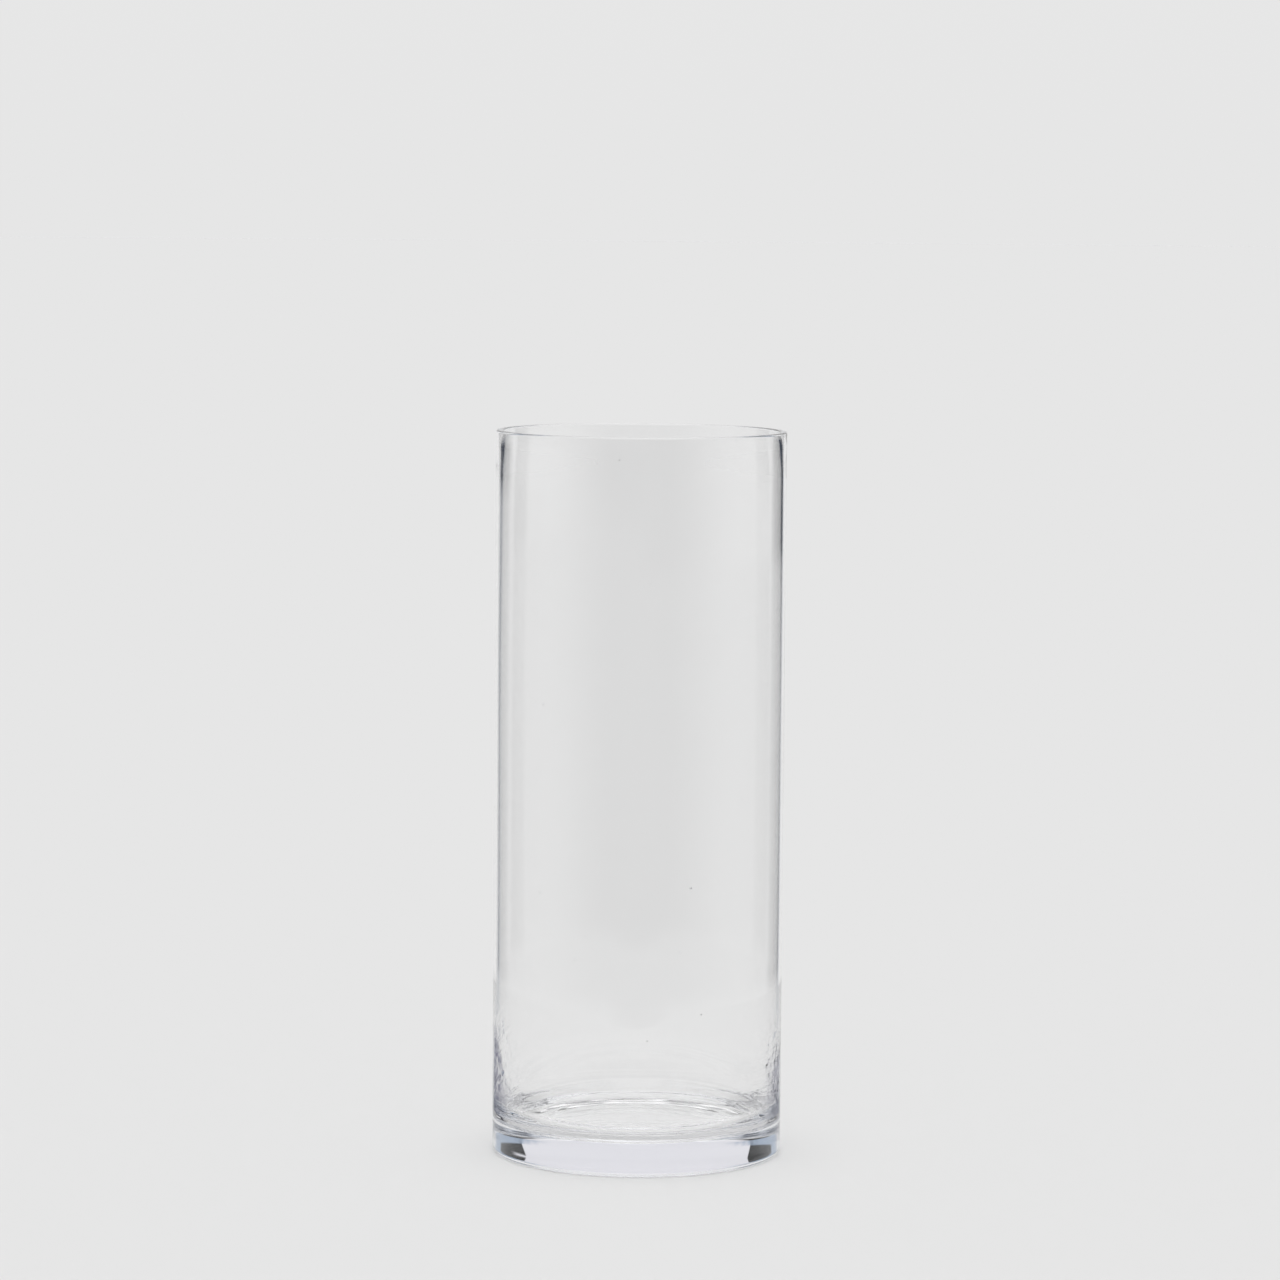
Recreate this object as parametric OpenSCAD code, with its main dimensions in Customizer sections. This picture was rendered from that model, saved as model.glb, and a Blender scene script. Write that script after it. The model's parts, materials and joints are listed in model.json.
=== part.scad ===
// Glass cylinder vase: one blown piece of clear glass, with straight walls and a thick solid base.
// The vase is a solid of revolution about +Z, and it stands on z = 0.

/* [Body] */
// Outside diameter of the cylinder
outer_d = 120; // [90:5:200]
// Height from the surface that it stands on to the top of the rim
height = 300; // [150:10:500]
// Thickness of the straight wall
wall = 2.2; // [2:0.1:5]

/* [Base] */
// Thickness of the solid base at the edge of its floor
base_t = 12; // [8:0.5:25]
// Width of the curve between the floor and the wall inside
curve_w = 13; // [5:1:20]
// Height of the same curve
curve_h = 11; // [5:1:20]
// Rise of the floor inside, from its edge to its centre
floor_crown = 1.2; // [0.2:0.1:2.5]

/* [Foot] */
// Radius round the bottom edge outside
foot_r = 2.3; // [0.8:0.1:4]

/* [Rim] */
// Radius of the rim's polished outer and inner edges
rim_r = 0.9; // [0.3:0.1:0.9]

/* [Hidden] */

outer_r = outer_d / 2;
bore_r = outer_r - wall;
floor_r = bore_r - curve_w;

glass_tint = [0.88, 0.92, 0.94, 0.45];
arc_steps = 12;
dome_steps = 8;
turn_fn = 180;

// Points of an elliptical arc in the section plane, from one angle to another
function arc(centre, radii, from, to) = [
    for (i = [0:arc_steps])
        let (a = from + (to - from) * i / arc_steps)
        [centre.x + radii.x * cos(a), centre.y + radii.y * sin(a)]
];

// Points of a shallow dome that rises from edge_z at edge_r to its top on the axis, from the edge inwards
function dome(edge_r, edge_z, rise) =
    let (sphere_r = (edge_r * edge_r + rise * rise) / (2 * rise))
    [
        for (i = [dome_steps:-1:0])
            let (r = edge_r * i / dome_steps)
            [r, edge_z + rise - sphere_r + sqrt(sphere_r * sphere_r - r * r)]
    ];

// Half of the section, once round: flat underside, foot, outer wall, rim, bore, curve and floor
module section() {
    polygon(concat(
        [[0, 0]],
        arc([outer_r - foot_r, foot_r], [foot_r, foot_r], -90, 0),
        arc([outer_r - rim_r, height - rim_r], [rim_r, rim_r], 0, 90),
        arc([bore_r + rim_r, height - rim_r], [rim_r, rim_r], 90, 180),
        arc([floor_r, base_t + curve_h], [curve_w, curve_h], 0, -90),
        dome(floor_r, base_t, floor_crown)
    ));
}

module vase_body() {
    color(glass_tint)
    rotate_extrude($fn = turn_fn)
        section();
}

vase_body();
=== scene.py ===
"""Glass cylinder vase: the blown glass body, its clear material, and a pale studio round it."""

import json
import math
from functools import partial

import bpy
from mathutils import Matrix, Vector, noise


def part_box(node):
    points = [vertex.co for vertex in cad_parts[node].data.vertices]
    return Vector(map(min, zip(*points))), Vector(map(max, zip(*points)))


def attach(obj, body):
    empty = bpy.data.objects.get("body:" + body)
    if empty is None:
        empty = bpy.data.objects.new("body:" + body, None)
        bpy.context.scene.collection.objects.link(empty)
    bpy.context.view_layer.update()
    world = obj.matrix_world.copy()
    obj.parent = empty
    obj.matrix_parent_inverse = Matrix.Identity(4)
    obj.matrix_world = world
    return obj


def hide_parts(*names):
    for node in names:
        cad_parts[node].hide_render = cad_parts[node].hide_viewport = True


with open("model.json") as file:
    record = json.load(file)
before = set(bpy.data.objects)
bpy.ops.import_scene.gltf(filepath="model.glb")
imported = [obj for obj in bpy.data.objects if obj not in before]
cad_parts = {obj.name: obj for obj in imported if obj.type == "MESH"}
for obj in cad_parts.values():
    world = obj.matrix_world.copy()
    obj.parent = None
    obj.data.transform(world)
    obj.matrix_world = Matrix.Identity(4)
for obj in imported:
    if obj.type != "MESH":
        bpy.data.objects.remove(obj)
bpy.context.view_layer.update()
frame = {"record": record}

MM = 0.001

# ---------------------------------------------------------------- sizes from the frame

mounts = {mount["name"]: mount["dims"] for mount in frame["record"]["mounts"] if mount["dims"]}
low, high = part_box("vase_body")
HEIGHT = high.z - low.z
OUTER_R = mounts["outer_wall"]["r_mm"] * MM
BORE_R = mounts["mouth"]["r_mm"] * MM
BORE_LENGTH = mounts["mouth"]["length_mm"] * MM

RIM_R = 0.9 * MM
FOOT_R = 2.3 * MM
FILLET_RISE = 11 * MM
FILLET_WIDTH = 13 * MM
FILLET_TOP = HEIGHT - RIM_R - BORE_LENGTH
FLOOR_Z = FILLET_TOP - FILLET_RISE
FLOOR_R = BORE_R - FILLET_WIDTH
FLOOR_CROWN = 1.2 * MM

# How the wall thickens from the base up, as blown glass does
WALL_LOW = 2.1 * MM
WALL_HIGH = 2.6 * MM
RIM_BEAD = 0.7 * MM
WALL_AT_RIM = WALL_HIGH + RIM_BEAD
# How far the bore lies off the axis, towards +X
BORE_SHIFT = 0.2 * MM
# Slow waves in the two surfaces of the wall
WAVE_OUTSIDE = 0.03 * MM
WAVE_INSIDE = 0.12 * MM

# Marks that the mould and the tools leave: wrinkles low on the wall, and ripples and swells in the floor
CHILL_TOP = 64 * MM
CHILL = 0.04 * MM
CHILL_LENGTH = 14 * MM
CHILL_WIDTH = 3.4 * MM
RIPPLE = 0.10 * MM
RIPPLE_SPACING = 3.8 * MM
SWELL = 0.10 * MM
SWELL_LENGTH = 11 * MM
# Rings that the mould leaves in the floor inside: radius, height and width in millimetres
RIDGES = ((54.5, 0.7, 1.0), (50.5, 0.6, 1.7), (45, 0.45, 1.8), (38, 0.35, 1.8))
# Fine chill strokes in the glass material. They rise less steeply on the +X side, and more on the other.
STROKE_SCALE = 460
STROKE_DEPTH = 0.3 * MM
STROKE_SLOPE = 0.32
STROKE_SLOPE_CHANGE = -0.21
STROKE_SHEAR = 0.4
STROKE_STRETCH = 0.22
STROKE_PATCH_SCALE = 70
# Film of handling marks: noise scale, and the most polish that it takes off
FILM_SCALE = 38
FILM_ROUGHNESS = 0.025
TINT = (0.80, 0.86, 1.0, 1)
TINT_DENSITY = 1.2

# Seeds, the tiny bubbles in the wall: degrees from straight in front, then height and radius in millimetres
SEED_R = OUTER_R - 1.1 * MM
SEEDS = (
    (-8.5, 291, 0.28),
    (-41, 191, 0.28),
    (-13, 158, 0.18),
    (2.5, 135, 0.25),
    (21, 118, 0.45),
    (-42, 114, 0.25),
    (-21, 98, 0.20),
    (16.5, 92, 0.25),
    (-16, 68, 0.18),
    (26, 66, 0.30),
    (4, 56, 0.25),
    (74, 205, 0.25),
    (98, 84, 0.30),
    (131, 142, 0.20),
    (176, 232, 0.25),
    (-152, 71, 0.30),
    (-109, 168, 0.20),
    (-83, 254, 0.25),
)

# How finely the mesh is divided: round the axis, in the curve inside, and across the floor
SEGMENTS = 360
CURVE_STEPS = 40
FLOOR_STEPS = 42
TURN = 2 * math.pi


# ---------------------------------------------------------------- the glass body

def smooth_step(value, start, end):
    """0 at start, 1 at end, and a soft change between."""
    share = min(1.0, max(0.0, (value - start) / (end - start)))
    return share * share * (3 - 2 * share)


def arc(centre_r, centre_z, radius, start, end, steps):
    """Points (r, z) on an arc of the section, its end point left out."""
    angles = [math.radians(start + (end - start) * i / steps) for i in range(steps)]
    return [(centre_r + radius * math.cos(a), centre_z + radius * math.sin(a)) for a in angles]


def line(start, end, steps):
    """Points (r, z) on a straight stretch of the section, its end point left out."""
    return [
        (start[0] + (end[0] - start[0]) * i / steps, start[1] + (end[1] - start[1]) * i / steps)
        for i in range(steps)
    ]


def dome(edge_r, edge_z, rise, radius):
    """Height at a radius of a shallow dome that rises from edge_z at edge_r."""
    sphere_r = (edge_r**2 + rise**2) / (2 * rise)
    return edge_z + rise - sphere_r + math.sqrt(sphere_r**2 - radius**2)


def wall_thickness(z):
    """The wall thickens a little upwards, and has a bead inside its fire-polished rim."""
    upper = (WALL_HIGH - WALL_LOW) * smooth_step(z / HEIGHT, 0.6, 0.92)
    return WALL_LOW + upper + RIM_BEAD * smooth_step(HEIGHT - z, 18 * MM, 6 * MM)


def section():
    """Rings (surface, r, z) from the middle of the underside up the outside, over the rim and down inside."""
    foot_edge = (OUTER_R - FOOT_R, 0.0)
    rings = [("foot", *p) for p in line((0.0, 0.0), foot_edge, 6)[1:]]
    rings += [("foot", *p) for p in arc(OUTER_R - FOOT_R, FOOT_R, FOOT_R, -90, 0, 8)]
    rings += [("outside", *p) for p in line((OUTER_R, FOOT_R), (OUTER_R, CHILL_TOP), 32)]
    rings += [("outside", *p) for p in line((OUTER_R, CHILL_TOP), (OUTER_R, HEIGHT - RIM_R), 30)]
    inner_rim = OUTER_R - WALL_AT_RIM
    rings += [("rim", *p) for p in arc(OUTER_R - RIM_R, HEIGHT - RIM_R, RIM_R, 0, 90, 8)]
    rings += [("rim", *p) for p in line((OUTER_R - RIM_R, HEIGHT), (inner_rim + RIM_R, HEIGHT), 3)]
    rings += [("rim", *p) for p in arc(inner_rim + RIM_R, HEIGHT - RIM_R, RIM_R, 90, 180, 8)]
    rings += [("inside", *p) for p in line((BORE_R, HEIGHT - RIM_R), (BORE_R, CHILL_TOP), 34)]
    rings += [("inside", *p) for p in line((BORE_R, CHILL_TOP), (BORE_R, FILLET_TOP), 40)]
    for i in range(CURVE_STEPS):
        a = math.pi / 2 * i / CURVE_STEPS
        rings.append(("floor", FLOOR_R + FILLET_WIDTH * math.cos(a), FILLET_TOP - FILLET_RISE * math.sin(a)))
    for i in range(FLOOR_STEPS, 0, -1):
        radius = FLOOR_R * i / FLOOR_STEPS
        rings.append(("floor", radius, dome(FLOOR_R, FLOOR_Z, FLOOR_CROWN, radius)))
    return rings


def waves(x, y, z, length, seed):
    """Smooth noise between about -1 and 1, with waves of a given length, that differs with the seed."""
    return noise.noise(Vector((x / length + seed, y / length - seed, z / length + seed / 2)))


def chill_marks(x, y, z):
    """Slanting wrinkles low on the wall at the mould's two seams, where the hot glass met the cold mould."""
    window = smooth_step(z, FILLET_TOP - 4 * MM, FILLET_TOP + 6 * MM)
    window *= 1 - smooth_step(z, 48 * MM, CHILL_TOP)
    window *= smooth_step(abs(x), 30 * MM, 44 * MM)
    angle = math.atan2(y, x)
    around = angle * OUTER_R
    along, across = (around + 1.6 * z) / CHILL_LENGTH, (z - 0.8 * around) / CHILL_WIDTH
    turn = math.cos(angle) * 3
    patches = smooth_step(waves(x, y, z, 16 * MM, seed=31), -0.15, 0.35)
    return window * patches * noise.noise(Vector((along, across, turn)))


def floor_ripples(x, y):
    """Faint uneven rings in the floor, and swells that are strongest towards the two sides."""
    r = math.hypot(x, y)
    rings = math.sin(TURN * r / RIPPLE_SPACING + 1.5 * waves(x, y, 0, 45 * MM, seed=5))
    strength = RIPPLE * (0.2 + 0.8 * smooth_step(r, 30 * MM, 42 * MM))
    strength *= 0.6 + 0.6 * waves(x, y, 0, 25 * MM, seed=11)
    sides = smooth_step(abs(x), 22 * MM, 40 * MM)
    swells = SWELL * sides * waves(x, y, 0, SWELL_LENGTH, seed=3)
    window = smooth_step(r, 8 * MM, 20 * MM) * (1 - smooth_step(r, 52 * MM, BORE_R))
    ridges = sum(rise * MM * math.exp(-(((r / MM - middle) / width) ** 2)) for middle, rise, width in RIDGES)
    return window * (strength * rings + swells) + ridges


def blown(surface, r, z, angle):
    """Where blown glass puts a point of the true section: each surface has its own slow waves and marks."""
    x, y = math.cos(angle), math.sin(angle)
    if surface == "outside":
        fade = smooth_step(z, 2 * MM, 20 * MM)
        r += WAVE_OUTSIDE * fade * noise.noise(Vector((x * 1.3, y * 1.3, z / (90 * MM))))
    if surface == "inside":
        thinner = (BORE_R + wall_thickness(z)) - OUTER_R
        r -= thinner * smooth_step(z, FILLET_TOP, FILLET_TOP + 30 * MM)
        fade = smooth_step(HEIGHT - z, 1 * MM, 12 * MM) * smooth_step(z, FILLET_TOP, 40 * MM)
        r += WAVE_INSIDE * fade * noise.noise(Vector((x * 1.1 + 7, y * 1.1, z / (120 * MM))))
        r += BORE_SHIFT * x * smooth_step(z, FILLET_TOP, FILLET_TOP + 30 * MM)
        r += CHILL * chill_marks(x * r, y * r, z)
    if surface == "rim" and r < OUTER_R - RIM_R:
        r += BORE_SHIFT * x * smooth_step(OUTER_R - r, RIM_R, WALL_AT_RIM - RIM_R)
    if surface == "floor":
        z += floor_ripples(x * r, y * r)
    return r, z


def add_bubble(points, faces, centre, radius):
    """Adds a small round bubble of air. Its faces turn inwards, since that is out of the glass."""
    bands, around = 6, 10
    top = len(points)
    points.append(tuple(centre + Vector((0, 0, radius))))
    for i in range(1, bands):
        polar = math.pi * i / bands
        for j in range(around):
            a = TURN * j / around
            offset = Vector((math.sin(polar) * math.cos(a), math.sin(polar) * math.sin(a), math.cos(polar)))
            points.append(tuple(centre + radius * offset))
    bottom = len(points)
    points.append(tuple(centre - Vector((0, 0, radius))))
    for j in range(around):
        following = (j + 1) % around
        faces.append((top, top + 1 + following, top + 1 + j))
        for i in range(bands - 2):
            upper, lower = top + 1 + i * around, top + 1 + (i + 1) * around
            faces.append((upper + j, upper + following, lower + following, lower + j))
        faces.append((bottom, bottom - around + j, bottom - around + following))


def build_body():
    """The whole glass body as one closed mesh, wound so that its normals point out of the glass."""
    rings = section()
    points = [(0.0, 0.0, 0.0)]
    for surface, r, z in rings:
        for j in range(SEGMENTS):
            angle = TURN * j / SEGMENTS
            radius, height = blown(surface, r, z, angle)
            points.append((radius * math.cos(angle), radius * math.sin(angle), height))
    points.append((0.0, 0.0, FLOOR_Z + FLOOR_CROWN))
    middle = len(points) - 1

    faces = []
    for j in range(SEGMENTS):
        following = (j + 1) % SEGMENTS
        faces.append((0, 1 + following, 1 + j))
        for i in range(len(rings) - 1):
            here, there = 1 + i * SEGMENTS, 1 + (i + 1) * SEGMENTS
            faces.append((here + j, here + following, there + following, there + j))
        last = 1 + (len(rings) - 1) * SEGMENTS
        faces.append((last + j, last + following, middle))
    for from_front, z, radius in SEEDS:
        angle = math.radians(from_front - 90)
        centre = Vector((SEED_R * math.cos(angle), SEED_R * math.sin(angle), z * MM))
        add_bubble(points, faces, centre, radius * MM)

    mesh = bpy.data.meshes.new("glass_body")
    mesh.from_pydata(points, [], faces)
    mesh.validate()
    mesh.shade_smooth()
    body = bpy.data.objects.new("glass_body", mesh)
    bpy.context.scene.collection.objects.link(body)
    return body


# ---------------------------------------------------------------- material of the glass

def math_node(tree, operation, *values):
    """A maths node in a material's tree, fed with numbers or other nodes' outputs. Gives its output."""
    node = tree.nodes.new("ShaderNodeMath")
    node.operation = operation
    for slot, value in zip(node.inputs, values):
        if isinstance(value, (int, float)):
            slot.default_value = value
        else:
            tree.links.new(value, slot)
    return node.outputs[0]


def clear_glass():
    """
    Clear soda-lime glass: smooth and fire-polished, with fine slanting chill marks inside the lower wall, and
    a faint film of handling marks that takes a little of the polish off in patches.
    """
    material = bpy.data.materials.new("clear_glass")
    material.use_nodes = True
    nodes, links = material.node_tree.nodes, material.node_tree.links
    maths = partial(math_node, material.node_tree)
    shader = nodes["Principled BSDF"]
    shader.inputs["Base Color"].default_value = (1, 1, 1, 1)
    shader.inputs["Transmission Weight"].default_value = 1
    shader.inputs["IOR"].default_value = 1.5

    def fade(value, start, end):
        node = nodes.new("ShaderNodeMapRange")
        node.interpolation_type = "SMOOTHSTEP"
        node.inputs["From Min"].default_value = start
        node.inputs["From Max"].default_value = end
        links.new(value, node.inputs["Value"])
        return node.outputs["Result"]

    def noise_node(vector, scale, detail, distortion=0.0):
        node = nodes.new("ShaderNodeTexNoise")
        node.inputs["Scale"].default_value = scale
        node.inputs["Detail"].default_value = detail
        node.inputs["Distortion"].default_value = distortion
        links.new(vector, node.inputs["Vector"])
        return node.outputs["Fac"]

    # Height, and the distance round the wall from the nearer side, in metres
    place = nodes.new("ShaderNodeTexCoord").outputs["Object"]
    split = nodes.new("ShaderNodeSeparateXYZ")
    links.new(place, split.inputs[0])
    x, y, z = split.outputs
    radius = maths("SQRT", maths("ADD", maths("MULTIPLY", x, x), maths("MULTIPLY", y, y)))
    side = maths("MULTIPLY", maths("ARCTAN2", maths("ABSOLUTE", y), maths("ABSOLUTE", x)), OUTER_R)

    # Chill marks: short strokes on the lower wall, inside only, that fan out from the mould's two seams
    rise = maths("ADD", maths("MULTIPLY", maths("SIGN", x), STROKE_SLOPE_CHANGE), STROKE_SLOPE)
    slant = nodes.new("ShaderNodeCombineXYZ")
    along = maths("ADD", side, maths("MULTIPLY", z, STROKE_SHEAR))
    links.new(maths("MULTIPLY", along, STROKE_STRETCH), slant.inputs[0])
    links.new(maths("SUBTRACT", z, maths("MULTIPLY", side, rise)), slant.inputs[1])
    links.new(maths("SIGN", x), slant.inputs[2])
    strokes = noise_node(slant.outputs[0], STROKE_SCALE, 2, 0.4)
    patches = fade(noise_node(place, STROKE_PATCH_SCALE, 2), 0.36, 0.56)
    band = maths("MULTIPLY", fade(z, 22 * MM, 27 * MM), fade(z, CHILL_TOP + 4 * MM, 34 * MM))
    inner = fade(radius, OUTER_R - 0.5 * MM, OUTER_R - 1 * MM)
    seams = fade(side, 44 * MM, 26 * MM)
    where = maths("MULTIPLY", maths("MULTIPLY", band, inner), maths("MULTIPLY", patches, seams))
    bump = nodes.new("ShaderNodeBump")
    bump.inputs["Strength"].default_value = 1
    bump.inputs["Distance"].default_value = STROKE_DEPTH
    links.new(maths("MULTIPLY", where, strokes), bump.inputs["Height"])
    links.new(bump.outputs["Normal"], shader.inputs["Normal"])

    # Handling marks: the polish of the wall is a little softer in patches
    film = fade(noise_node(place, FILM_SCALE, 5, 0.8), 0.50, 0.75)
    softest = maths("MULTIPLY", fade(z, 30 * MM, 60 * MM), FILM_ROUGHNESS)
    links.new(maths("MULTIPLY", film, softest), shader.inputs["Roughness"])

    absorption = nodes.new("ShaderNodeVolumeAbsorption")
    absorption.inputs["Color"].default_value = TINT
    absorption.inputs["Density"].default_value = TINT_DENSITY
    links.new(absorption.outputs[0], nodes["Material Output"].inputs["Volume"])
    return material


# ---------------------------------------------------------------- studio

# The surround's brightness at the horizon, how much it gains overhead, and how late in the rise it gains it
PALE = 0.791
SKY_RISE = 0.7
SKY_POWER = 1.5
FLOOR_ALBEDO = 0.664
FLOOR_WIDTH = 60.0
# A hair under the foot, so that the two surfaces don't share a plane
FLOOR_LEVEL = -0.1 * MM
BLACK = (0.02, 0.02, 0.025)


def pale_world():
    """An even pale surround, a little brighter overhead, so that the floor matches it at the horizon."""
    world = bpy.data.worlds.new("pale_surround")
    bpy.context.scene.world = world
    world.use_nodes = True
    nodes, links = world.node_tree.nodes, world.node_tree.links
    maths = partial(math_node, world.node_tree)
    direction = nodes.new("ShaderNodeTexCoord")
    split = nodes.new("ShaderNodeSeparateXYZ")
    links.new(direction.outputs["Generated"], split.inputs[0])
    height = maths("POWER", maths("MAXIMUM", split.outputs["Z"], 0), SKY_POWER)
    brightness = nodes.new("ShaderNodeMapRange")
    brightness.inputs["To Min"].default_value = PALE
    brightness.inputs["To Max"].default_value = PALE + SKY_RISE
    links.new(height, brightness.inputs["Value"])
    links.new(brightness.outputs["Result"], nodes["Background"].inputs["Color"])


def floor():
    """A wide pale floor, lit evenly by the surround."""
    points = [(0.0, 0.0, FLOOR_LEVEL)]
    steps = 96
    radius = FLOOR_WIDTH / 2
    points += [
        (radius * math.cos(TURN * i / steps), radius * math.sin(TURN * i / steps), FLOOR_LEVEL)
        for i in range(steps)
    ]
    faces = [(0, 1 + i, 1 + (i + 1) % steps) for i in range(steps)]
    mesh = bpy.data.meshes.new("floor")
    mesh.from_pydata(points, [], faces)
    ground = bpy.data.objects.new("floor", mesh)
    bpy.context.scene.collection.objects.link(ground)
    material = bpy.data.materials.new("pale_floor")
    material.use_nodes = True
    shader = material.node_tree.nodes["Principled BSDF"]
    shader.inputs["Base Color"].default_value = (FLOOR_ALBEDO, FLOOR_ALBEDO, FLOOR_ALBEDO, 1)
    shader.inputs["Roughness"].default_value = 1
    shader.inputs["Specular IOR Level"].default_value = 0
    mesh.materials.append(material)


def shade(name, angles, rows, place, look, seen_by_floor=False, surfaces=9, mirrors=1):
    """
    A soft card round the vase, which only shows in what the glass mirrors, or only darkens the floor.
    place(angle, row) is its radius and height, and look(angle, row) is its opacity and colour. Angles are in
    degrees from straight behind the vase, 0, to straight in front of it, 180, and are negative on the left.
    A card in the glass shows to light that has been mirrored at least as many times as mirrors says, and has
    passed at most as many glass surfaces as surfaces says.
    """
    points, opacities, colours = [], [], []
    for angle in angles:
        x, y = math.sin(math.radians(angle)), math.cos(math.radians(angle))
        for row in rows:
            radius, z = place(angle, row)
            points.append((x * radius, y * radius, z))
            strength, tone = look(angle, row)
            opacities.append(strength)
            colours += [*tone, 1]
    width = len(rows)
    faces = []
    for i in range(len(angles) - 1):
        here, there = i * width, (i + 1) * width
        faces += [(here + k, here + k + 1, there + k + 1, there + k) for k in range(width - 1)]
    mesh = bpy.data.meshes.new(name)
    mesh.from_pydata(points, [], faces)
    mesh.attributes.new("opacity", "FLOAT", "POINT").data.foreach_set("value", opacities)
    mesh.attributes.new("shade", "FLOAT_COLOR", "POINT").data.foreach_set("color", colours)
    piece = bpy.data.objects.new(name, mesh)
    bpy.context.scene.collection.objects.link(piece)

    material = bpy.data.materials.new(name)
    material.use_nodes = True
    nodes, links = material.node_tree.nodes, material.node_tree.links
    maths = partial(math_node, material.node_tree)
    opacity = nodes.new("ShaderNodeAttribute")
    opacity.attribute_name = "opacity"
    colour = nodes.new("ShaderNodeAttribute")
    colour.attribute_name = "shade"
    share = opacity.outputs["Fac"]
    if not seen_by_floor:
        path = nodes.new("ShaderNodeLightPath")
        mirrored = maths("GREATER_THAN", path.outputs["Glossy Depth"], mirrors - 0.5)
        early = maths("LESS_THAN", path.outputs["Transmission Depth"], surfaces + 0.5)
        # Not light on its way to the floor
        off_floor = maths("LESS_THAN", path.outputs["Diffuse Depth"], 0.5)
        shown = maths("MULTIPLY", maths("MULTIPLY", mirrored, early), off_floor)
        share = maths("MULTIPLY", shown, share)
    clear = nodes.new("ShaderNodeBsdfTransparent")
    glow = nodes.new("ShaderNodeEmission")
    mix = nodes.new("ShaderNodeMixShader")
    links.new(colour.outputs["Color"], glow.inputs["Color"])
    links.new(share, mix.inputs[0])
    links.new(clear.outputs[0], mix.inputs[1])
    links.new(glow.outputs[0], mix.inputs[2])
    links.new(mix.outputs[0], nodes["Material Output"].inputs["Surface"])
    mesh.materials.append(material)
    piece.visible_camera = False
    piece.visible_shadow = False
    piece.visible_diffuse = seen_by_floor
    piece.visible_glossy = not seen_by_floor
    piece.visible_transmission = not seen_by_floor


# The ring of flags: where each part fades in and out, in degrees, and how dark it is
RING_RADIUS = 0.44
RING_FRONT = 0.40
RING_TOP = 0.45
FLAG_FROM = (32, 35)
FLAG_TO = (55, 63)
FLAG_RIGHT = 0.66
FLAG_LEFT = 0.50
GREY_FROM = (56, 66)
GREY = 0.22
ROOM_FROM = (95, 160)
ROOM_LOW = 0.80
ROOM_HIGH = 0.98
# The heights over which the flags turn fully dark, sharply on the right and softly on the left
DARK_RIGHT = (0.216, 0.224)
DARK_LEFT = (0.235, 0.285)
# The heights over which the ring fades in at the floor, and where it starts to fade out
RING_IN = (-0.006, 0.012)
RING_OUT = 0.36


def ring_outline(angle):
    """A circle, cut off straight across the front."""
    forward = -math.cos(math.radians(angle))
    return min(RING_RADIUS, RING_FRONT / forward) if forward > 0 else RING_RADIUS


def ring_opacity(angle, height):
    """Two dark flags beside the background, grey beyond them, and the dark room in front of the table."""
    side = abs(angle)
    flag = smooth_step(side, *FLAG_FROM) * (1 - smooth_step(side, *FLAG_TO))
    room = smooth_step(side, *ROOM_FROM)
    veil = FLAG_RIGHT if angle > 0 else FLAG_LEFT
    lower = veil * flag + GREY * smooth_step(side, *GREY_FROM) * (1 - room) + ROOM_LOW * room
    upper = flag + ROOM_HIGH * room
    dark = smooth_step(height, *(DARK_RIGHT if angle > 0 else DARK_LEFT))
    edges = smooth_step(height, *RING_IN) * (1 - smooth_step(height, RING_OUT, RING_TOP))
    return (lower + (upper - lower) * dark) * edges


# A dark veil over the table round the vase that only the glass mirrors, a painted shade on the table's
# reflection, and the radius where it starts to darken more
TABLE_IN = 0.105
TABLE_OUT = 0.44
TABLE_FADE = 0.28
TABLE_DARK = 0.14
TABLE_DARKER = 0.08


def table_reflection_shade(radius):
    """Painted shade: the table, as the glass mirrors it, darkens towards its edge, while the floor itself
    stays evenly pale.
    """
    return TABLE_DARK + TABLE_DARKER * smooth_step(radius, TABLE_FADE, TABLE_OUT)


# Close behind the base: a lavender card, a black patch on each side of it, and blue and dull haze beyond.
# The step is the height where blue gives way to lavender or black, and it changes by so much a degree.
# The patches start and end at these angles in degrees, and their inner edges lean by so many degrees a metre.
NEAR_RADIUS = 0.10
NEAR_BOTTOM = 0.004
NEAR_TOP = 0.0245
NEAR_STEP = 0.01495
STEP_SLOPE = 0.26 * MM
STEP_ANGLE = 13.2
PATCH_FROM = 12.0
PATCH_LEAN_LEFT = 200
PATCH_LEAN_RIGHT = 350
PATCH_TO = 27
GAP_HEIGHT = 0.0200
# Angles over which the strip of blue fades in, the low cards fade out, and the side haze fades in
STRIP_FROM = (4.5, 8.5)
NEAR_END = (34, 40)
HAZE_FROM = (50, 59)
# The haze's end at its foot, how much sooner it ends at its top, and the heights over which it fades out
HAZE_TO = 88
HAZE_NARROWS = 16
HAZE_LEFT = (34 * MM, 44 * MM)
HAZE_RIGHT = (26 * MM, 33 * MM)
HAZE_RIGHT_SHARE = 0.7
LAVENDER = (0.765, 0.757, 0.79)
BLUE = (0.30, 0.37, 0.47)
HAZE = (0.20, 0.20, 0.26)

# Blue cards at the two sides
CARD_RADIUS = 0.30
CARD_TOP = 0.45
CARD_FROM = (24, 38)
CARD_TO = (100, 120)
CARD_OPACITY = 0.95
CARD_BLUE = (0.13, 0.20, 0.31)
# The stripes across them: how many in a full turn, and how bright the darkest is
STRIPES = 12
STRIPE_LOW = 0.35

# The ceiling, whose rings of light repeat every few degrees of height above the horizon
CEILING_Z = 0.6
CEILING_IN = 0.15
CEILING_OUT = 1.1
CEILING_PERIOD = 20
SIDES_FROM = 0.45
CEILING_OPACITY = 0.9
CEILING = (0.05, 0.05, 0.07)

# A dark skirt round the foot that only the floor's light sees, put there to cast a painted contact shadow on
# the floor: its height and opacity
CONTACT_HEIGHT = 4 * MM
CONTACT_OPACITY = 0.6


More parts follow.
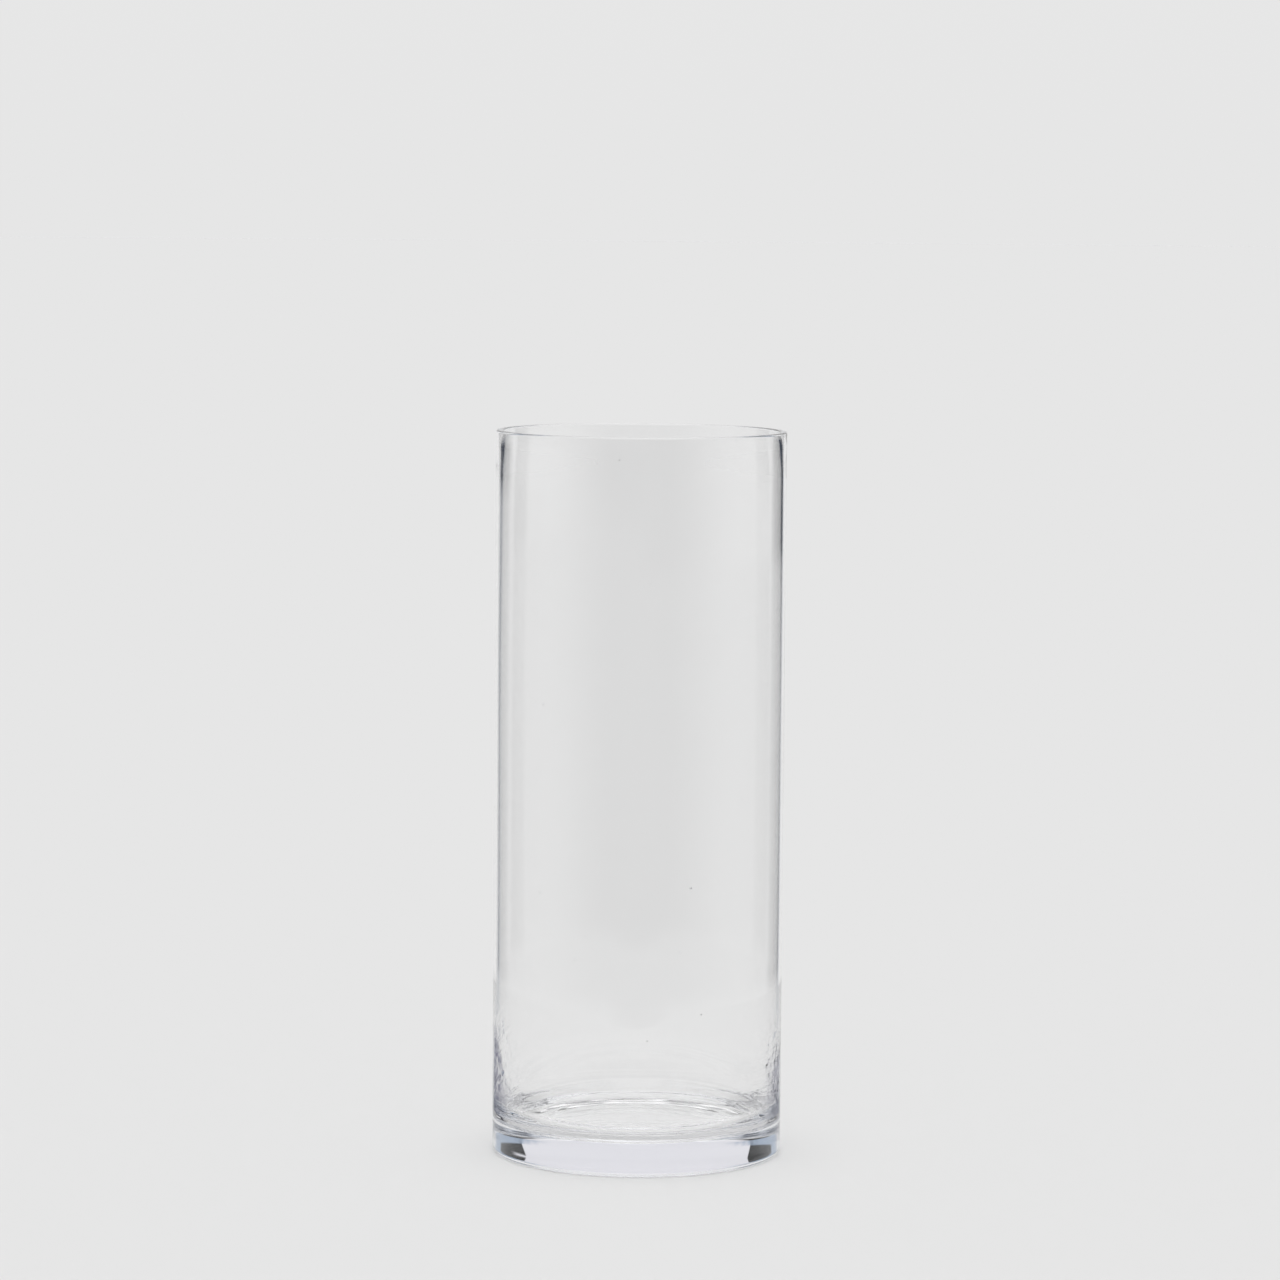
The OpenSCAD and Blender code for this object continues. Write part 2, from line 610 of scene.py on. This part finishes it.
def near_look(angle, height):
    """
    What the solid base mirrors from close behind it: lavender, a black patch on each side of that, then blue,
    and a haze at the two sides that reaches higher on the left.
    """
    side = abs(angle)
    step = NEAR_STEP + STEP_SLOPE * (side - STEP_ANGLE)
    under = 1 - smooth_step(height, step - 0.3 * MM, step + 0.3 * MM)
    strip = under * smooth_step(height, step - 4.5 * MM, step - 3.5 * MM)
    lean = PATCH_LEAN_LEFT if angle < 0 else PATCH_LEAN_RIGHT
    start = PATCH_FROM - lean * (height - NEAR_STEP)
    end = smooth_step(side, PATCH_TO, PATCH_TO + 1.5)
    dark = smooth_step(side, start, start + 0.4) * (1 - end)
    if angle > 0:
        # A lit gap crosses the flag that shows on the left
        gap = 1 - smooth_step(abs(height - GAP_HEIGHT), 0.3 * MM, 0.6 * MM)
        dark *= 1 - gap * (1 - smooth_step(side, start + 3, start + 8))
    inner = 1 - dark - end
    blue = strip * smooth_step(side, *STRIP_FROM)
    haze = smooth_step(side, *HAZE_FROM)
    colour = [
        inner * (LAVENDER[c] * (1 - blue) + BLUE[c] * blue)
        + dark * under * BLUE[c]
        + end * (BLUE[c] * (1 - haze) + HAZE[c] * haze)
        for c in range(3)
    ]
    base = (1 - smooth_step(height, NEAR_TOP - 0.5 * MM, NEAR_TOP)) * (1 - smooth_step(side, *NEAR_END))
    if angle < 0:
        reach = 1 - smooth_step(height, *HAZE_LEFT)
    else:
        reach = HAZE_RIGHT_SHARE * (1 - smooth_step(height, *HAZE_RIGHT))
    last = HAZE_TO - HAZE_NARROWS * smooth_step(height, 24 * MM, 32 * MM)
    side_haze = haze * reach * (1 - smooth_step(side, last - 8, last))
    return max(base, side_haze), colour


def card_look(angle, height):
    """Striped blue cards at the two sides, which show in the solid base after it has mirrored them twice."""
    side = abs(angle)
    across = smooth_step(side, *CARD_FROM) * (1 - smooth_step(side, *CARD_TO))
    down = 1 - smooth_step(height, CARD_TOP - 0.1, CARD_TOP)
    stripe = STRIPE_LOW + (1 - STRIPE_LOW) * smooth_step(math.sin(math.radians(side * STRIPES)), -0.7, 0.2)
    return CARD_OPACITY * across * down, [c * stripe for c in CARD_BLUE]


def ceiling_look(angle, radius):
    """A dark ceiling at the two sides, with rings of light in it."""
    elevation = math.degrees(math.atan2(CEILING_Z, radius))
    rings = smooth_step(math.sin(TURN * elevation / CEILING_PERIOD), 0.3, -0.3)
    sides = smooth_step(abs(math.sin(math.radians(angle))), SIDES_FROM, SIDES_FROM + 0.2)
    return CEILING_OPACITY * sides * rings, CEILING


def studio_shades():
    """What the glass mirrors, and the contact shadow round its foot."""
    full_turn = range(-180, 181)
    heights = [RING_TOP * i / 90 for i in range(91)]
    shade(
        "ring_of_flags", full_turn, heights,
        lambda angle, z: (ring_outline(angle), z),
        lambda angle, z: (ring_opacity(angle, z), BLACK),
    )
    # Painted shade: a dark veil over the table that only the glass mirrors, darkening the table's reflection
    radii = [TABLE_IN + (TABLE_OUT - TABLE_IN) * i / 33 for i in range(34)]
    shade(
        "table_reflection_veil", full_turn, radii,
        lambda angle, r: (r, 0.5 * MM),
        lambda angle, r: (table_reflection_shade(r), BLACK),
    )
    near_angles = [-90 + 180 * i / 900 for i in range(901)]
    near_heights = [NEAR_BOTTOM + i * 0.5 * MM for i in range(82)]
    shade("near_flags", near_angles, near_heights, lambda angle, z: (NEAR_RADIUS, z), near_look, surfaces=2)
    card_heights = [CARD_TOP * i / 45 for i in range(46)]
    shade(
        "side_cards", full_turn, card_heights,
        lambda angle, z: (CARD_RADIUS, z), card_look,
        surfaces=2, mirrors=2,
    )
    ceiling_radii = [CEILING_IN + (CEILING_OUT - CEILING_IN) * i / 120 for i in range(121)]
    shade("ceiling", full_turn, ceiling_radii, lambda angle, r: (r, CEILING_Z), ceiling_look)
    # Painted contact shadow: a dark skirt that only the floor's light sees darkens the floor round the foot
    shade(
        "contact", full_turn, [0.0, CONTACT_HEIGHT],
        lambda angle, z: (OUTER_R - 0.5 * MM, z),
        lambda angle, z: (CONTACT_OPACITY, BLACK),
        seen_by_floor=True,
    )


# Fitted to the ellipses of the rim and the foot: lens in millimetres, place, and angles in degrees
CAMERA_LENS = 135.7
CAMERA_PLACE = (0, -1.9858, 0.4026)
CAMERA_DOWN = 5.446
CAMERA_ROLL = 0.45


def camera():
    """A long lens at a little over the height of the rim, looking slightly down."""
    data = bpy.data.cameras.new("camera")
    data.lens = CAMERA_LENS
    data.sensor_width = 36
    view = bpy.data.objects.new("camera", data)
    bpy.context.scene.collection.objects.link(view)
    down, roll = math.radians(CAMERA_DOWN), math.radians(CAMERA_ROLL)
    view.matrix_world = (
        Matrix.Translation(CAMERA_PLACE)
        @ Matrix.Rotation(math.pi / 2 - down, 4, "X")
        @ Matrix.Rotation(roll, 4, "Z")
    )
    bpy.context.scene.camera = view


glass_body = build_body()
glass_body.data.materials.append(clear_glass())
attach(glass_body, "root")
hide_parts("vase_body")

pale_world()
floor()
studio_shades()
camera()

scene = bpy.context.scene
scene.view_settings.view_transform = "Standard"
scene.cycles.max_bounces = 32
scene.cycles.transmission_bounces = 32
scene.cycles.glossy_bounces = 32
scene.cycles.diffuse_bounces = 8
scene.cycles.blur_glossy = 0
scene.cycles.use_denoising = True
